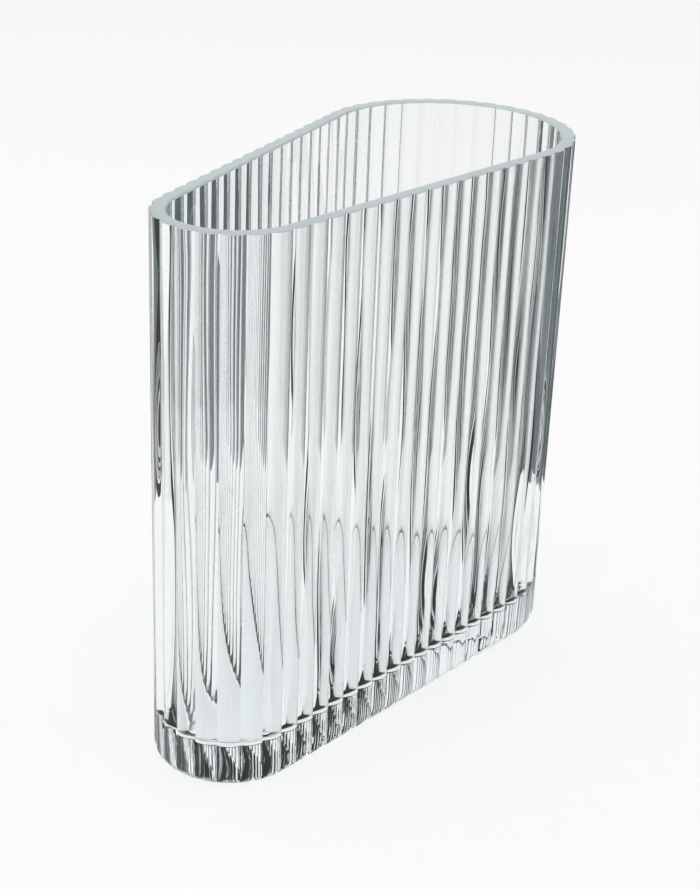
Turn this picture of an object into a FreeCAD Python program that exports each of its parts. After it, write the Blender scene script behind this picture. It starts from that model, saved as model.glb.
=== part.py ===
import FreeCAD, Part

# A flat vase of clear ribbed glass: one mould-made glass body, open at the top.
#
# Seen from above the body is a teardrop: a narrow round end and a wide round end joined by two
# straight, tangent sides. The whole outside is covered by upright, shallow rounded ribs that meet in
# sharp valleys. The inside is smooth, the foot is thick and round-edged, and the rim is flat.
#
# Frame: millimetres, +Z up, +X towards the wide end. The origin is on the resting face, under the
# middle of the body's bounding box.

import math
import os

import Sketcher

SIZES = {
    "height": 200.0,  # resting face to ground rim
    "narrow_radius": 26.3,  # narrow end, measured in the rib valleys
    "wide_radius": 46.5,  # wide end, measured in the rib valleys
    "centre_span": 132.3,  # between the centres of the two round ends
    "rib_pitch": 8.0,  # aimed at; a whole number of ribs goes round
    "rib_rise": 1.1,  # crest above valley
    "wall_thickness": 4.2,  # valley to the inside
    "base_thickness": 12.0,  # resting face to the inside floor
    "foot_radius": 3.0,  # rounding of the outside bottom edge
    "floor_radius": 6.0,  # rounding where the inside wall meets the floor
    "rim_bevel": 0.6,  # ground bevel on the inside edge of the rim
    "cut_overrun": 5.0,  # how far the cavity tool stands past the rim
}

# Each round end's centre lies on the X axis, placed so that the bounding box is centred.
WIDE_CENTRE = "(Sizes.centre_span + Sizes.narrow_radius - Sizes.wide_radius) / 2"
NARROW_CENTRE = "(Sizes.centre_span + Sizes.wide_radius - Sizes.narrow_radius) / 2"


def make_sheet(document):
    """The spreadsheet of driving dimensions, one alias a row."""
    sheet = document.addObject("Spreadsheet::Sheet", "Sizes")
    for row, (alias, value) in enumerate(SIZES.items(), start=1):
        sheet.set(f"A{row}", alias)
        sheet.set(f"B{row}", str(value))
        sheet.setAlias(f"B{row}", alias)
    document.recompute()
    return sheet


def origin_plane(body, role):
    """The body's own origin plane of that role."""
    return next(feature for feature in body.Origin.OriginFeatures if feature.Role == role)


class Teardrop:
    """The smooth teardrop outline that the rib valleys lie on, walked from the narrow tip."""

    def __init__(self, sheet, offset=0.0):
        self.narrow_radius = sheet.narrow_radius + offset
        self.wide_radius = sheet.wide_radius + offset
        self.span = sheet.centre_span
        self.wide_x = (sheet.centre_span + sheet.narrow_radius - sheet.wide_radius) / 2
        self.narrow_x = self.wide_x - sheet.centre_span
        # the sides lean out by this angle from the narrow end to the wide end
        self.lean = math.asin((self.wide_radius - self.narrow_radius) / self.span)

    def lengths(self):
        """Lengths of the half narrow arc, a side and the wide arc."""
        narrow = self.narrow_radius * (math.pi / 2 - self.lean)
        side = self.span * math.cos(self.lean)
        wide = self.wide_radius * (math.pi + 2 * self.lean)
        return narrow, side, wide

    def perimeter(self):
        """Length of the whole outline."""
        narrow, side, wide = self.lengths()
        return 2 * narrow + 2 * side + wide

    def at(self, travel):
        """Point and outward normal after that travel from the narrow tip, by the +Y side first."""
        narrow, side, wide = self.lengths()
        half = narrow + side + wide / 2
        mirrored = travel > half
        if mirrored:
            travel = 2 * half - travel
        if travel <= narrow:
            angle = math.pi - travel / self.narrow_radius
            centre, radius = self.narrow_x, self.narrow_radius
            normal = FreeCAD.Vector(math.cos(angle), math.sin(angle), 0)
            point = FreeCAD.Vector(centre, 0, 0) + normal * radius
        elif travel <= narrow + side:
            normal = FreeCAD.Vector(-math.sin(self.lean), math.cos(self.lean), 0)
            along = FreeCAD.Vector(math.cos(self.lean), math.sin(self.lean), 0)
            start = FreeCAD.Vector(self.narrow_x, 0, 0) + normal * self.narrow_radius
            point = start + along * (travel - narrow)
        else:
            angle = math.pi / 2 + self.lean - (travel - narrow - side) / self.wide_radius
            normal = FreeCAD.Vector(math.cos(angle), math.sin(angle), 0)
            point = FreeCAD.Vector(self.wide_x, 0, 0) + normal * self.wide_radius
        if mirrored:
            point.y, normal.y = -point.y, -normal.y
        return point, normal


def teardrop_sketch(body, name, offset):
    """A fully constrained teardrop sketch, offset from the rib valleys by a sheet expression."""
    sheet = body.Document.Sizes
    grown = Teardrop(sheet, body.Document.Sizes.evalExpression(offset))
    sketch = body.newObject("Sketcher::SketchObject", name)
    sketch.AttachmentSupport = [(origin_plane(body, "XY_Plane"), "")]
    sketch.MapMode = "FlatFace"
    up = FreeCAD.Vector(0, 0, 1)
    side_angle = math.pi / 2 + grown.lean
    wide_centre = FreeCAD.Vector(grown.wide_x, 0, 0)
    narrow_centre = FreeCAD.Vector(grown.narrow_x, 0, 0)
    wide_circle = Part.Circle(wide_centre, up, grown.wide_radius)
    narrow_circle = Part.Circle(narrow_centre, up, grown.narrow_radius)
    wide = Part.ArcOfCircle(wide_circle, -side_angle, side_angle)
    narrow = Part.ArcOfCircle(narrow_circle, side_angle, 2 * math.pi - side_angle)
    top = Part.LineSegment(wide.EndPoint, narrow.StartPoint)
    bottom = Part.LineSegment(narrow.EndPoint, wide.StartPoint)
    sketch.addGeometry([wide, top, narrow, bottom], False)
    wide_arc, top_side, narrow_arc, bottom_side = range(4)
    start, end, centre, origin, x_axis = 1, 2, 3, -1, -1
    sketch.addConstraint(Sketcher.Constraint("Tangent", wide_arc, end, top_side, start))
    sketch.addConstraint(Sketcher.Constraint("Tangent", top_side, end, narrow_arc, start))
    sketch.addConstraint(Sketcher.Constraint("Tangent", narrow_arc, end, bottom_side, start))
    sketch.addConstraint(Sketcher.Constraint("Tangent", bottom_side, end, wide_arc, start))
    sketch.addConstraint(Sketcher.Constraint("PointOnObject", wide_arc, centre, x_axis))
    sketch.addConstraint(Sketcher.Constraint("PointOnObject", narrow_arc, centre, x_axis))
    driven = [
        ("DistanceX", (origin, 1, wide_arc, centre, grown.wide_x), WIDE_CENTRE),
        ("DistanceX", (narrow_arc, centre, origin, 1, -grown.narrow_x), NARROW_CENTRE),
        ("Radius", (wide_arc, grown.wide_radius), f"Sizes.wide_radius + ({offset})"),
        ("Radius", (narrow_arc, grown.narrow_radius), f"Sizes.narrow_radius + ({offset})"),
    ]
    for kind, where, expression in driven:
        index = sketch.addConstraint(Sketcher.Constraint(kind, *where))
        sketch.setExpression(f"Constraints[{index}]", expression)
    return sketch


def ribbed_sketch(body, name):
    """The outside outline: one shallow arc a rib, from valley to valley over its crest."""
    sheet = body.Document.Sizes
    outline = Teardrop(sheet)
    count = round(outline.perimeter() / sheet.rib_pitch)
    step = outline.perimeter() / count
    sketch = body.newObject("Sketcher::SketchObject", name)
    sketch.AttachmentSupport = [(origin_plane(body, "XY_Plane"), "")]
    sketch.MapMode = "FlatFace"
    # half a rib on, so that a crest stands on the axis at the narrow tip
    valleys = [outline.at((number + 0.5) * step)[0] for number in range(count)]
    for number in range(count):
        middle, normal = outline.at((number + 1) * step)
        crest = middle + normal * sheet.rib_rise
        following = valleys[(number + 1) % count]
        sketch.addGeometry(Part.Arc(valleys[number], crest, following), False)
    return sketch


def padded_body(document, name, make_sketch, height):
    """A body whose one sketch is padded upwards by a sheet expression."""
    body = document.addObject("PartDesign::Body", name)
    sketch = make_sketch(body)
    pad = body.newObject("PartDesign::Pad", f"{name}_pad")
    pad.Profile = sketch
    pad.setExpression("Length", height)
    document.recompute()
    return body, pad


def edges_at(shape, level):
    """Names of the edges that lie flat at that height."""
    found = []
    for number, edge in enumerate(shape.Edges, start=1):
        box = edge.BoundBox
        if abs(box.ZMin - level) < Part.Precision.confusion() and box.ZLength < Part.Precision.confusion():
            found.append(f"Edge{number}")
    return found


def round_bottom(body, pad, radius):
    """Rounds the bottom edge of a smooth body by a sheet expression."""
    fillet = body.newObject("PartDesign::Fillet", f"{body.Name}_fillet")
    fillet.Base = (pad, edges_at(pad.Shape, pad.Shape.BoundBox.ZMin))
    fillet.setExpression("Radius", radius)
    body.Tip = fillet
    body.Document.recompute()


def make_vase(document):
    """The glass body: a ribbed prism, rounded at the foot, hollowed and bevelled at the rim."""
    ribbed, _ = padded_body(
        document, "ribbed_block", lambda body: ribbed_sketch(body, "ribbed_outline"), "Sizes.height"
    )

    envelope, envelope_pad = padded_body(
        document,
        "foot_envelope",
        lambda body: teardrop_sketch(body, "crest_outline", "Sizes.rib_rise"),
        "Sizes.height",
    )
    round_bottom(envelope, envelope_pad, "Sizes.foot_radius")

    cavity, cavity_pad = padded_body(
        document,
        "cavity_tool",
        lambda body: teardrop_sketch(body, "inside_outline", "-Sizes.wall_thickness"),
        "Sizes.height - Sizes.base_thickness + Sizes.cut_overrun",
    )
    round_bottom(cavity, cavity_pad, "Sizes.floor_radius")
    cavity.setExpression("Placement.Base.z", "Sizes.base_thickness")

    outside = document.addObject("Part::Common", "outside_form")
    outside.Base = ribbed
    outside.Tool = envelope
    hollow = document.addObject("Part::Cut", "hollow_form")
    hollow.Base = outside
    hollow.Tool = cavity
    document.recompute()

    vase = document.addObject("Part::Chamfer", "glass_body")
    vase.Base = hollow
    bevel = document.Sizes.rim_bevel
    vase.Edges = [(number, bevel, bevel) for number in inside_rim_edges(hollow.Shape, document.Sizes)]
    vase.Label = "glass_body"
    document.recompute()
    return vase


def inside_rim_edges(shape, sheet):
    """Numbers of the edges of the rim's inside outline."""
    inside = Teardrop(sheet, -sheet.wall_thickness)
    reach = inside.wide_x + inside.wide_radius
    found = []
    for number, edge in enumerate(shape.Edges, start=1):
        box = edge.BoundBox
        flat = box.ZLength < Part.Precision.confusion()
        at_rim = abs(box.ZMin - sheet.height) < Part.Precision.confusion()
        if flat and at_rim and is_inside(edge, inside, reach):
            found.append(number)
    return found


def is_inside(edge, inside, reach):
    """True if the middle of the edge lies on the inside outline and not on a rib."""
    middle = edge.valueAt((edge.FirstParameter + edge.LastParameter) / 2)
    to_wide = math.hypot(middle.x - inside.wide_x, middle.y) - inside.wide_radius
    to_narrow = math.hypot(middle.x - inside.narrow_x, middle.y) - inside.narrow_radius
    leaning = -(middle.x - inside.wide_x) * math.sin(inside.lean) + abs(middle.y) * math.cos(inside.lean)
    to_side = leaning - inside.wide_radius
    near = reach * Part.Precision.confusion()
    return min(abs(to_wide), abs(to_narrow), abs(to_side)) < max(near, Part.Precision.confusion())


def check_and_write(document, pieces):
    """Stops on any failed feature or bad solid, then writes each sub-part."""
    for item in document.Objects:
        if "Invalid" in item.State or "Error" in item.State:
            raise RuntimeError(f"{item.Name} failed: {item.State}")
    os.makedirs("parts", exist_ok=True)
    for piece in pieces:
        shape = piece.Shape
        if shape.isNull() or not shape.isValid():
            raise RuntimeError(f"{piece.Label} has no valid shape")
        shape.exportStep(f"parts/{piece.Label}.step")
        size = shape.BoundBox
        print(piece.Label, len(shape.Solids), "solid", round(shape.Volume), "mm3",
              [round(length, 2) for length in (size.XLength, size.YLength, size.ZLength)],
              "from", [round(low, 3) for low in (size.XMin, size.YMin, size.ZMin)])


def main():
    """Builds the document and writes its one sub-part."""
    document = FreeCAD.newDocument("fan_vase")
    make_sheet(document)
    check_and_write(document, [make_vase(document)])


main()
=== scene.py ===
"""Studio scene for a flat ribbed glass vase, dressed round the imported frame. Lengths are in metres."""

import logging
import math
from dataclasses import dataclass, field
from enum import Enum

import bmesh
import bpy
from mathutils import Matrix, Vector


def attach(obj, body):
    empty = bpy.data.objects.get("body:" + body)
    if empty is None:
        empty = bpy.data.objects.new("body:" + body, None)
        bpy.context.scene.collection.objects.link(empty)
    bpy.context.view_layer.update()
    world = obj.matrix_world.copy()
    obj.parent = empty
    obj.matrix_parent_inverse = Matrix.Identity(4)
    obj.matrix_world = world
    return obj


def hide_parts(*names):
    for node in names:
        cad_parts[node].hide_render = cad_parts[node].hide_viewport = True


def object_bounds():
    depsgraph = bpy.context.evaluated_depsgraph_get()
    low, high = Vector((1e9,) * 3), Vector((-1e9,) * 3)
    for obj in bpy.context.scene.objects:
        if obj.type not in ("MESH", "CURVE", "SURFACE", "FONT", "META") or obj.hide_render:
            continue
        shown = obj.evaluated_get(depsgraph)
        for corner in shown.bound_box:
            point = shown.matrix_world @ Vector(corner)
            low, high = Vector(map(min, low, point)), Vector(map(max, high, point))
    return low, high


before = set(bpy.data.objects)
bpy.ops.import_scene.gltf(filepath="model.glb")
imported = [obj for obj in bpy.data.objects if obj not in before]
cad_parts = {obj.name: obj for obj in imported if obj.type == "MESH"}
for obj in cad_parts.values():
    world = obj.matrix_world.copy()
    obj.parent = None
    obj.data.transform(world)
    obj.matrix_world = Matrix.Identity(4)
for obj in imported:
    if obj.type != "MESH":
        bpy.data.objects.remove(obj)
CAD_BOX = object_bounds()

LOG = logging.getLogger("vase")
Colour = tuple[float, float, float]
Place = tuple[float, float, float]
Span = tuple[float, float]
Socket = bpy.types.NodeSocket
MIX_A, MIX_B, MIX_RESULT = 6, 7, 2  # colour sockets of the Mix node
VIEW_HEADING = math.radians(32.3)  # from +X towards +Y


class Skin(Enum):
    """Which surface of the glass a ring of points lies on."""

    OUTSIDE = "outside"
    INSIDE = "inside"


def calculate(
    tree: bpy.types.NodeTree, operation: str, first: Socket | float, second: Socket | float = 0.0
) -> Socket:
    """Adds a Math node.

    Args:
        tree: Node tree that gets the node.
        operation: Name of the operation.
        first: Socket or number for the first input.
        second: Socket or number for the second input.

    Returns:
        The node's output socket.
    """
    node = tree.nodes.new("ShaderNodeMath")
    node.operation = operation
    for socket, value in zip(node.inputs, (first, second)):
        if isinstance(value, Socket):
            tree.links.new(value, socket)
        else:
            socket.default_value = value
    return node.outputs["Value"]


def ramp(tree: bpy.types.NodeTree, value: Socket, limits: Span, results: Span) -> Socket:
    """Adds a clamped Map Range node.

    Args:
        tree: Node tree that gets the node.
        value: Socket that is mapped.
        limits: Lowest and highest value read.
        results: What those two become.

    Returns:
        The node's output socket.
    """
    node = tree.nodes.new("ShaderNodeMapRange")
    tree.links.new(value, node.inputs["Value"])
    node.inputs["From Min"].default_value, node.inputs["From Max"].default_value = limits
    node.inputs["To Min"].default_value, node.inputs["To Max"].default_value = results
    return node.outputs["Result"]


def blend_colours(
    tree: bpy.types.NodeTree, factor: Socket, first: Socket | Colour, second: Socket | Colour
) -> Socket:
    """Adds a colour Mix node.

    Args:
        tree: Node tree that gets the node.
        factor: Socket that picks between the two.
        first: Colour or socket where the factor is 0.
        second: Colour or socket where the factor is 1.

    Returns:
        The node's output socket.
    """
    node = tree.nodes.new("ShaderNodeMix")
    node.data_type = "RGBA"
    tree.links.new(factor, node.inputs[0])
    for index, value in ((MIX_A, first), (MIX_B, second)):
        if isinstance(value, Socket):
            tree.links.new(value, node.inputs[index])
        else:
            node.inputs[index].default_value = (*value, 1.0)
    return node.outputs[MIX_RESULT]


@dataclass(frozen=True)
class ClearGlass:
    """Mould-made glass with a faint blue-green body colour."""

    name: str = "clear_glass"
    pale_tint: Colour = (0.985, 0.995, 0.995)
    deep_tint: Colour = (0.95, 0.97, 0.975)
    transmission: float = 1.0
    roughness_limits: tuple[float, float] = (0.005, 0.02)
    body_colour: Colour = (0.86, 0.93, 0.94)
    body_density: float = 6.0
    shadow_tint: Colour = (0.93, 0.95, 0.95)
    refraction: float = 1.5
    ripple_scale: float = 55.0
    ripple_strength: float = 0.04
    ripple_distance: float = 0.0004

    def material(self) -> bpy.types.Material:
        """Builds the material.

        Returns:
            The material.
        """
        made = bpy.data.materials.new(self.name)
        made.use_nodes = True
        tree = made.node_tree
        tree.nodes.clear()
        shader = tree.nodes.new("ShaderNodeBsdfPrincipled")
        shader.inputs["Transmission Weight"].default_value = self.transmission
        shader.inputs["IOR"].default_value = self.refraction
        coordinates = tree.nodes.new("ShaderNodeTexCoord").outputs["Object"]
        ripple = tree.nodes.new("ShaderNodeTexNoise")
        ripple.inputs["Scale"].default_value = self.ripple_scale
        tree.links.new(coordinates, ripple.inputs["Vector"])
        roughness = ramp(tree, ripple.outputs["Fac"], (0.0, 1.0), self.roughness_limits)
        tree.links.new(roughness, shader.inputs["Roughness"])
        tint = blend_colours(tree, ripple.outputs["Fac"], self.pale_tint, self.deep_tint)
        tree.links.new(tint, shader.inputs["Base Color"])
        bump = tree.nodes.new("ShaderNodeBump")
        bump.inputs["Strength"].default_value = self.ripple_strength
        bump.inputs["Distance"].default_value = self.ripple_distance
        tree.links.new(ripple.outputs["Fac"], bump.inputs["Height"])
        tree.links.new(bump.outputs["Normal"], shader.inputs["Normal"])
        self._finish(tree, shader)
        return made

    def _finish(self, tree: bpy.types.NodeTree, shader: bpy.types.Node) -> None:
        """Lets soft light through to the floor, and adds the body colour.

        Args:
            tree: The material's node tree.
            shader: Its surface shader.
        """
        clear = tree.nodes.new("ShaderNodeBsdfTransparent")
        clear.inputs["Color"].default_value = (*self.shadow_tint, 1.0)
        path = tree.nodes.new("ShaderNodeLightPath")
        mix = tree.nodes.new("ShaderNodeMixShader")
        tree.links.new(path.outputs["Is Shadow Ray"], mix.inputs[0])
        tree.links.new(shader.outputs["BSDF"], mix.inputs[1])
        tree.links.new(clear.outputs["BSDF"], mix.inputs[2])
        body = tree.nodes.new("ShaderNodeVolumeAbsorption")
        body.inputs["Color"].default_value = (*self.body_colour, 1.0)
        body.inputs["Density"].default_value = self.body_density
        output = tree.nodes.new("ShaderNodeOutputMaterial")
        tree.links.new(mix.outputs["Shader"], output.inputs["Surface"])
        tree.links.new(body.outputs["Volume"], output.inputs["Volume"])


def rim_glass() -> ClearGlass:
    """The flat rim's finish: paler and less clear than the walls."""
    return ClearGlass(
        name="flat_rim",
        pale_tint=(0.58, 0.66, 0.67),
        deep_tint=(0.52, 0.60, 0.61),
        transmission=0.25,
        roughness_limits=(0.25, 0.40),
    )


@dataclass(frozen=True)
class Teardrop:
    """The smooth outline that the rib valleys lie on, walked from the narrow tip."""

    narrow_radius: float
    wide_radius: float
    span: float

    @property
    def wide_x(self) -> float:
        """Where the wide end's centre lies along X."""
        return (self.span + self.narrow_radius - self.wide_radius) / 2

    @property
    def lean(self) -> float:
        """Angle by which each side leans out."""
        return math.asin((self.wide_radius - self.narrow_radius) / self.span)

    def stretches(self) -> tuple[float, float, float]:
        """Lengths of the half narrow arc, one side and half the wide arc."""
        narrow = self.narrow_radius * (math.pi / 2 - self.lean)
        return narrow, self.span * math.cos(self.lean), self.wide_radius * (math.pi / 2 + self.lean)

    @property
    def perimeter(self) -> float:
        """Length of the whole outline."""
        return 2 * sum(self.stretches())

    def at(self, travel: float) -> tuple[Vector, Vector]:
        """Finds a point of the outline.

        Args:
            travel: Distance from the narrow tip, by the +Y side first.

        Returns:
            The point and the outward normal there.
        """
        narrow, side, wide = self.stretches()
        half = narrow + side + wide
        travel %= self.perimeter
        flip = -1.0 if travel > half else 1.0
        travel = min(travel, 2 * half - travel)
        narrow_centre = Vector((self.wide_x - self.span, 0.0))
        if travel <= narrow:
            angle = math.pi - travel / self.narrow_radius
        elif travel <= narrow + side:
            angle = math.pi / 2 + self.lean
        else:
            angle = math.pi / 2 + self.lean - (travel - narrow - side) / self.wide_radius
        normal = Vector((math.cos(angle), math.sin(angle)))
        if travel <= narrow:
            point = narrow_centre + normal * self.narrow_radius
        elif travel <= narrow + side:
            along = Vector((math.cos(self.lean), math.sin(self.lean)))
            point = narrow_centre + normal * self.narrow_radius + along * (travel - narrow)
        else:
            point = Vector((self.wide_x, 0.0)) + normal * self.wide_radius
        return Vector((point.x, point.y * flip)), Vector((normal.x, normal.y * flip))


@dataclass(frozen=True)
class Ring:
    """One closed ring of points round the glass."""

    skin: Skin
    level: float
    inset: float = 0.0
    ceiling: float = math.inf
    size_share: float = 1.0


@dataclass
class GlassBody:
    """The ribbed glass body, foot to rim, as one closed surface."""

    outline: Teardrop = Teardrop(narrow_radius=0.0263, wide_radius=0.0465, span=0.1323)
    rib_pitch: float = 0.008
    rib_rise: float = 0.0011
    wall: float = 0.0042
    base: float = 0.012
    foot_radius: float = 0.003
    floor_radius: float = 0.006
    rim_round: float = 0.0003
    rim_bevel: float = 0.0006
    steps_per_rib: int = 16
    round_steps: int = 6
    outside_steps: int = 10
    inside_steps: int = 40
    flat_shares: tuple[float, ...] = (0.25, 0.5, 0.75)
    wave_height: float = 0.00022
    low_wave_height: float = 0.00050
    wave_lengths: tuple[float, float] = (0.047, 0.083)
    wave_fade: float = 0.012
    sharp_angle: float = math.radians(30)
    finish: ClearGlass = field(default_factory=ClearGlass)
    rim_finish: ClearGlass = field(default_factory=rim_glass)

    def __post_init__(self) -> None:
        """Takes the height from the frame and fits a whole number of ribs."""
        self.height = CAD_BOX[1][2] - CAD_BOX[0][2]
        self.rib_count = round(self.outline.perimeter / self.rib_pitch)
        self.pitch = self.outline.perimeter / self.rib_count

    def bulge(self, share: float) -> float:
        """How far a rib's arc stands out of its valleys.

        Args:
            share: How far across the rib, from 0 to 1.

        Returns:
            The height above the valleys.
        """
        half = self.pitch / 2
        radius = (half ** 2 + self.rib_rise ** 2) / (2 * self.rib_rise)
        across = (2 * share - 1) * half
        return math.sqrt(radius ** 2 - across ** 2) - (radius - self.rib_rise)

    def wave(self, point: Vector, level: float) -> float:
        """The slow unevenness of the inside wall, stronger low down and none at its edges.

        Args:
            point: Point of the outline.
            level: Height above the table.

        Returns:
            How far the wall stands out there.
        """
        edge = min(self.height - level, level - self.base - self.floor_radius)
        fade = max(0.0, min(1.0, edge / self.wave_fade))
        height = self.wave_height + self.low_wave_height * (1 - level / self.height) ** 2
        along, up = self.wave_lengths
        first = math.sin(math.tau * point.x / along + 1) * math.cos(math.tau * level / up)
        second = math.sin(math.tau * (point.x + point.y) / (along / 2) + math.tau * level / (2 * up))
        return fade * height * (first + second) / 2

    def rings(self) -> list[Ring]:
        """Lists all rings of the surface.

        Returns:
            The rings, from the underside's middle round the rim to the floor's middle.
        """
        quarter = [math.pi / 2 * step / self.round_steps for step in range(self.round_steps + 1)]
        low = self.rib_rise - self.foot_radius
        found = [Ring(Skin.OUTSIDE, 0.0, 0.0, low, share) for share in self.flat_shares]
        for turn in quarter:
            level = self.foot_radius * (1 - math.cos(turn))
            found.append(Ring(Skin.OUTSIDE, level, 0.0, low + self.foot_radius * math.sin(turn)))
        rise = self.height - self.rim_round - self.foot_radius
        for step in range(1, self.outside_steps):
            found.append(Ring(Skin.OUTSIDE, self.foot_radius + rise * step / self.outside_steps))
        for turn in quarter:
            level = self.height - self.rim_round * (1 - math.sin(turn))
            found.append(Ring(Skin.OUTSIDE, level, self.rim_round * (1 - math.cos(turn))))
        found.append(Ring(Skin.INSIDE, self.height, -self.rim_bevel))
        top, bottom = self.height - self.rim_bevel, self.base + self.floor_radius
        for step in range(self.inside_steps):
            found.append(Ring(Skin.INSIDE, top + (bottom - top) * step / self.inside_steps))
        for turn in quarter:
            level = self.base + self.floor_radius * (1 - math.sin(turn))
            found.append(Ring(Skin.INSIDE, level, self.floor_radius * (1 - math.cos(turn))))
        for share in reversed(self.flat_shares):
            found.append(Ring(Skin.INSIDE, self.base, self.floor_radius, size_share=share))
        return found

    def ring_points(self, ring: Ring) -> list[Vector]:
        """Places the points of one ring.

        Args:
            ring: The ring.

        Returns:
            Its points, in order.
        """
        points = []
        for number in range(self.rib_count * self.steps_per_rib):
            rib, step = divmod(number, self.steps_per_rib)
            share = step / self.steps_per_rib
            point, normal = self.outline.at((rib + share + 1 / 2) * self.pitch)
            if ring.skin is Skin.OUTSIDE:
                offset = min(self.bulge(share) - ring.inset, ring.ceiling)
            else:
                offset = -self.wall - ring.inset + self.wave(point, ring.level)
            flat = (point + normal * offset) * ring.size_share
            points.append(Vector((flat.x, flat.y, ring.level)))
        return points

    def mesh(self) -> bpy.types.Mesh:
        """Builds the closed mesh.

        Returns:
            The mesh, with smooth ribs and sharp valleys.
        """
        work = bmesh.new()
        levels = [ring.level for ring in self.rings()]
        rings = [[work.verts.new(point) for point in self.ring_points(ring)] for ring in self.rings()]
        for number, (lower, upper) in enumerate(zip(rings, rings[1:])):
            is_rim = min(levels[number : number + 2]) >= self.height - self.rim_bevel
            for index in range(len(lower)):
                face = work.faces.new((lower[index - 1], lower[index], upper[index], upper[index - 1]))
                face.material_index = int(is_rim)
        for ring, level in ((rings[0], 0.0), (rings[-1], self.base)):
            middle = work.verts.new((0.0, 0.0, level))
            for index in range(len(ring)):
                work.faces.new((ring[index - 1], ring[index], middle))
        bmesh.ops.recalc_face_normals(work, faces=work.faces)
        made = bpy.data.meshes.new("vase_glass")
        work.to_mesh(made)
        work.free()
        made.shade_smooth()
        made.set_sharp_from_angle(angle=self.sharp_angle)
        return made

    def build(self) -> bpy.types.Object:
        """Makes the piece and ties it to the frame.

        Returns:
            The piece.
        """
        piece = bpy.data.objects.new("vase_glass", self.mesh())
        bpy.context.scene.collection.objects.link(piece)
        piece.data.materials.append(self.finish.material())
        piece.data.materials.append(self.rim_finish.material())
        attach(piece, "root")
        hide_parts("glass_body")
        LOG.info("vase_glass: %d ribs, %d faces", self.rib_count, len(piece.data.polygons))
        return piece


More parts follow.
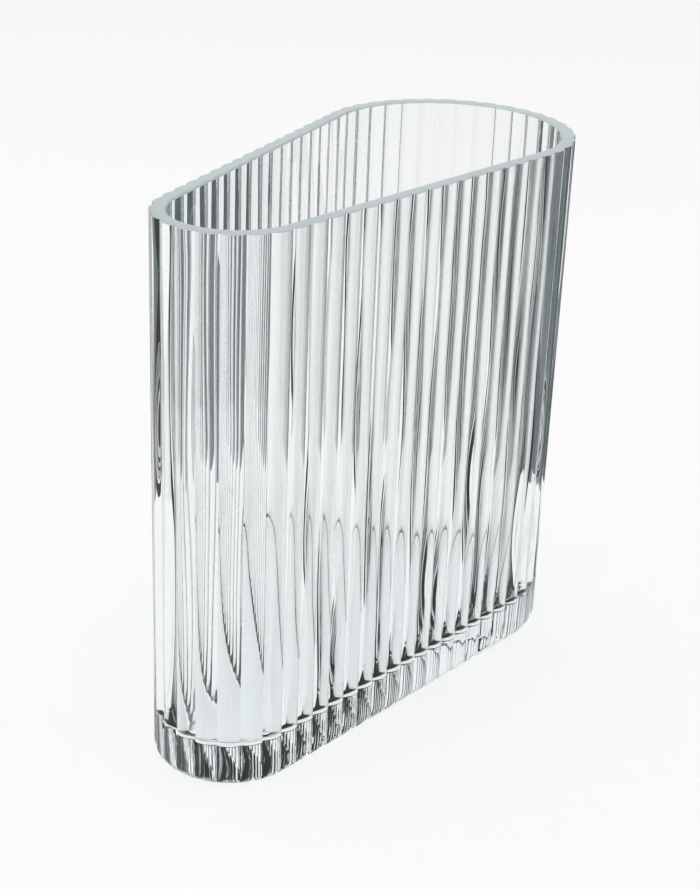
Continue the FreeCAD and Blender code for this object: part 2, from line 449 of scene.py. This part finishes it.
@dataclass
class Studio:
    """White table, white surround with soft dark sides, and two soft lamps."""

    floor_radius: float = 2.5
    floor_points: int = 96
    floor_colour: Colour = (0.90, 0.90, 0.90)
    floor_roughness: float = 0.9
    floor_glow_share: float = 0.6
    through_glow_share: float = 0.45
    plain_light: Colour = (0.80, 0.80, 0.80)
    white: Colour = (1.0, 1.0, 1.0)
    dark_side: Colour = (0.45, 0.53, 0.54)
    floor_gap: float = 0.0003
    card_colour: Colour = (0.06, 0.09, 0.10)
    card_turn: float = math.radians(48)
    card_distance: float = 0.21
    card_width: float = 0.11
    card_height: float = 0.50
    side_limits: tuple[float, float] = (0.80, 0.99)
    lamp_size: float = 1.0
    key_power: float = 9.0
    fill_power: float = 4.0
    key_place: Place = (-0.9, 0.8, 1.5)
    fill_place: Place = (0.9, -1.1, 1.2)

    def build(self) -> None:
        """Makes the floor, the surround, the dark cards and the lamps."""
        self._floor()
        self._surround()
        self._card("left_card", self.card_turn)
        self._card("right_card", -self.card_turn)
        self._lamp("key_lamp", self.key_place, self.key_power)
        self._lamp("fill_lamp", self.fill_place, self.fill_power)
        LOG.info("studio ready")

    def _floor(self) -> None:
        """A round white table that keeps the object's shadow, a thin air gap under the glass."""
        work = bmesh.new()
        bmesh.ops.create_circle(work, cap_ends=True, segments=self.floor_points, radius=self.floor_radius)
        mesh = bpy.data.meshes.new("table")
        work.to_mesh(mesh)
        work.free()
        table = bpy.data.objects.new("table", mesh)
        bpy.context.scene.collection.objects.link(table)
        table.location.z = -self.floor_gap
        made = bpy.data.materials.new("white_table")
        made.use_nodes = True
        tree = made.node_tree
        shader = tree.nodes["Principled BSDF"]
        shader.inputs["Base Color"].default_value = (*self.floor_colour, 1.0)
        shader.inputs["Roughness"].default_value = self.floor_roughness
        glow = tree.nodes.new("ShaderNodeEmission")
        path = tree.nodes.new("ShaderNodeLightPath").outputs
        direct = calculate(tree, "MULTIPLY", path["Is Camera Ray"], self.floor_glow_share)
        glassy = calculate(tree, "MAXIMUM", path["Is Glossy Ray"], path["Is Transmission Ray"])
        through = calculate(tree, "MULTIPLY", glassy, self.through_glow_share)
        mix = tree.nodes.new("ShaderNodeMixShader")
        tree.links.new(calculate(tree, "MAXIMUM", direct, through), mix.inputs[0])
        tree.links.new(shader.outputs["BSDF"], mix.inputs[1])
        tree.links.new(glow.outputs["Emission"], mix.inputs[2])
        tree.links.new(mix.outputs["Shader"], tree.nodes["Material Output"].inputs["Surface"])
        mesh.materials.append(made)

    def _surround(self) -> None:
        """White to the camera, with dark sides for glass to show, and plain light for the rest."""
        world = bpy.data.worlds.new("surround")
        bpy.context.scene.world = world
        world.use_nodes = True
        tree = world.node_tree
        split = tree.nodes.new("ShaderNodeSeparateXYZ")
        direction = tree.nodes.new("ShaderNodeTexCoord").outputs["Generated"]
        tree.links.new(direction, split.inputs["Vector"])
        heading = calculate(tree, "ARCTAN2", split.outputs["Y"], split.outputs["X"])
        turned = calculate(tree, "SUBTRACT", heading, VIEW_HEADING)
        sides = calculate(tree, "ABSOLUTE", calculate(tree, "SINE", calculate(tree, "MULTIPLY", turned, 2)))
        band = ramp(tree, sides, self.side_limits, (0.0, 1.0))
        studio = blend_colours(tree, band, self.white, self.dark_side)
        path = tree.nodes.new("ShaderNodeLightPath").outputs
        glassy = calculate(tree, "MAXIMUM", path["Is Glossy Ray"], path["Is Transmission Ray"])
        colour = blend_colours(tree, glassy, self.plain_light, studio)
        colour = blend_colours(tree, path["Is Camera Ray"], colour, self.white)
        tree.links.new(colour, tree.nodes["Background"].inputs["Color"])

    def _card(self, name: str, turn: float) -> None:
        """Stands a dark card beside the white table's middle, seen only in and through the glass.

        Args:
            name: Name of the card.
            turn: Angle from the viewing heading to the card.
        """
        heading = VIEW_HEADING + turn
        out = Vector((math.cos(heading), math.sin(heading), 0.0))
        half = Vector((-out.y, out.x, 0.0)) * self.card_width / 2
        up = Vector((0.0, 0.0, self.card_height))
        middle = out * self.card_distance
        corners = [middle - half, middle + half, middle + half + up, middle - half + up]
        mesh = bpy.data.meshes.new(name)
        mesh.from_pydata(corners, [], [(0, 1, 2, 3)])
        card = bpy.data.objects.new(name, mesh)
        bpy.context.scene.collection.objects.link(card)
        made = bpy.data.materials.new(name)
        made.use_nodes = True
        made.node_tree.nodes["Principled BSDF"].inputs["Base Color"].default_value = (*self.card_colour, 1.0)
        mesh.materials.append(made)
        card.visible_camera = False
        card.visible_diffuse = False
        card.visible_shadow = False

    def _lamp(self, name: str, place: Place, power: float) -> None:
        """Adds one soft lamp that faces the object.

        Args:
            name: Name of the lamp.
            place: Where it hangs.
            power: Its power in watts.
        """
        data = bpy.data.lights.new(name, "AREA")
        data.size = self.lamp_size
        data.energy = power
        lamp = bpy.data.objects.new(name, data)
        bpy.context.scene.collection.objects.link(lamp)
        lamp.location = place
        lamp.rotation_euler = (-Vector(place)).to_track_quat("-Z", "Y").to_euler()


@dataclass
class PhotoCamera:
    """The camera that puts the vase's outline nearest to the one in the photograph."""

    place: Place = (-0.5087, -0.3194, 0.3628)
    pitch_down: float = math.radians(24.37)
    roll: float = math.radians(2.27)
    lens: float = 71.4

    def build(self) -> None:
        """Makes the camera the scene's camera."""
        level = Vector((math.cos(VIEW_HEADING), math.sin(VIEW_HEADING), 0.0))
        right = Vector((level.y, -level.x, 0.0))
        up = Vector((0.0, 0.0, 1.0))
        ahead = level * math.cos(self.pitch_down) - up * math.sin(self.pitch_down)
        down = -level * math.sin(self.pitch_down) - up * math.cos(self.pitch_down)
        image_right = right * math.cos(self.roll) - down * math.sin(self.roll)
        image_down = right * math.sin(self.roll) + down * math.cos(self.roll)
        turn = Matrix((image_right, -image_down, -ahead)).transposed()
        data = bpy.data.cameras.new("photo_camera")
        data.lens = self.lens
        camera = bpy.data.objects.new("photo_camera", data)
        bpy.context.scene.collection.objects.link(camera)
        camera.matrix_world = Matrix.Translation(self.place) @ turn.to_4x4()
        bpy.context.scene.camera = camera
        LOG.info("camera ready")


def main() -> None:
    """Builds the camera, the studio and the vase, in that order."""
    logging.basicConfig(level=logging.INFO, format="%(message)s")
    bpy.context.scene.view_settings.view_transform = "Standard"
    PhotoCamera().build()
    Studio().build()
    GlassBody().build()


if __name__ == "__main__":
    main()
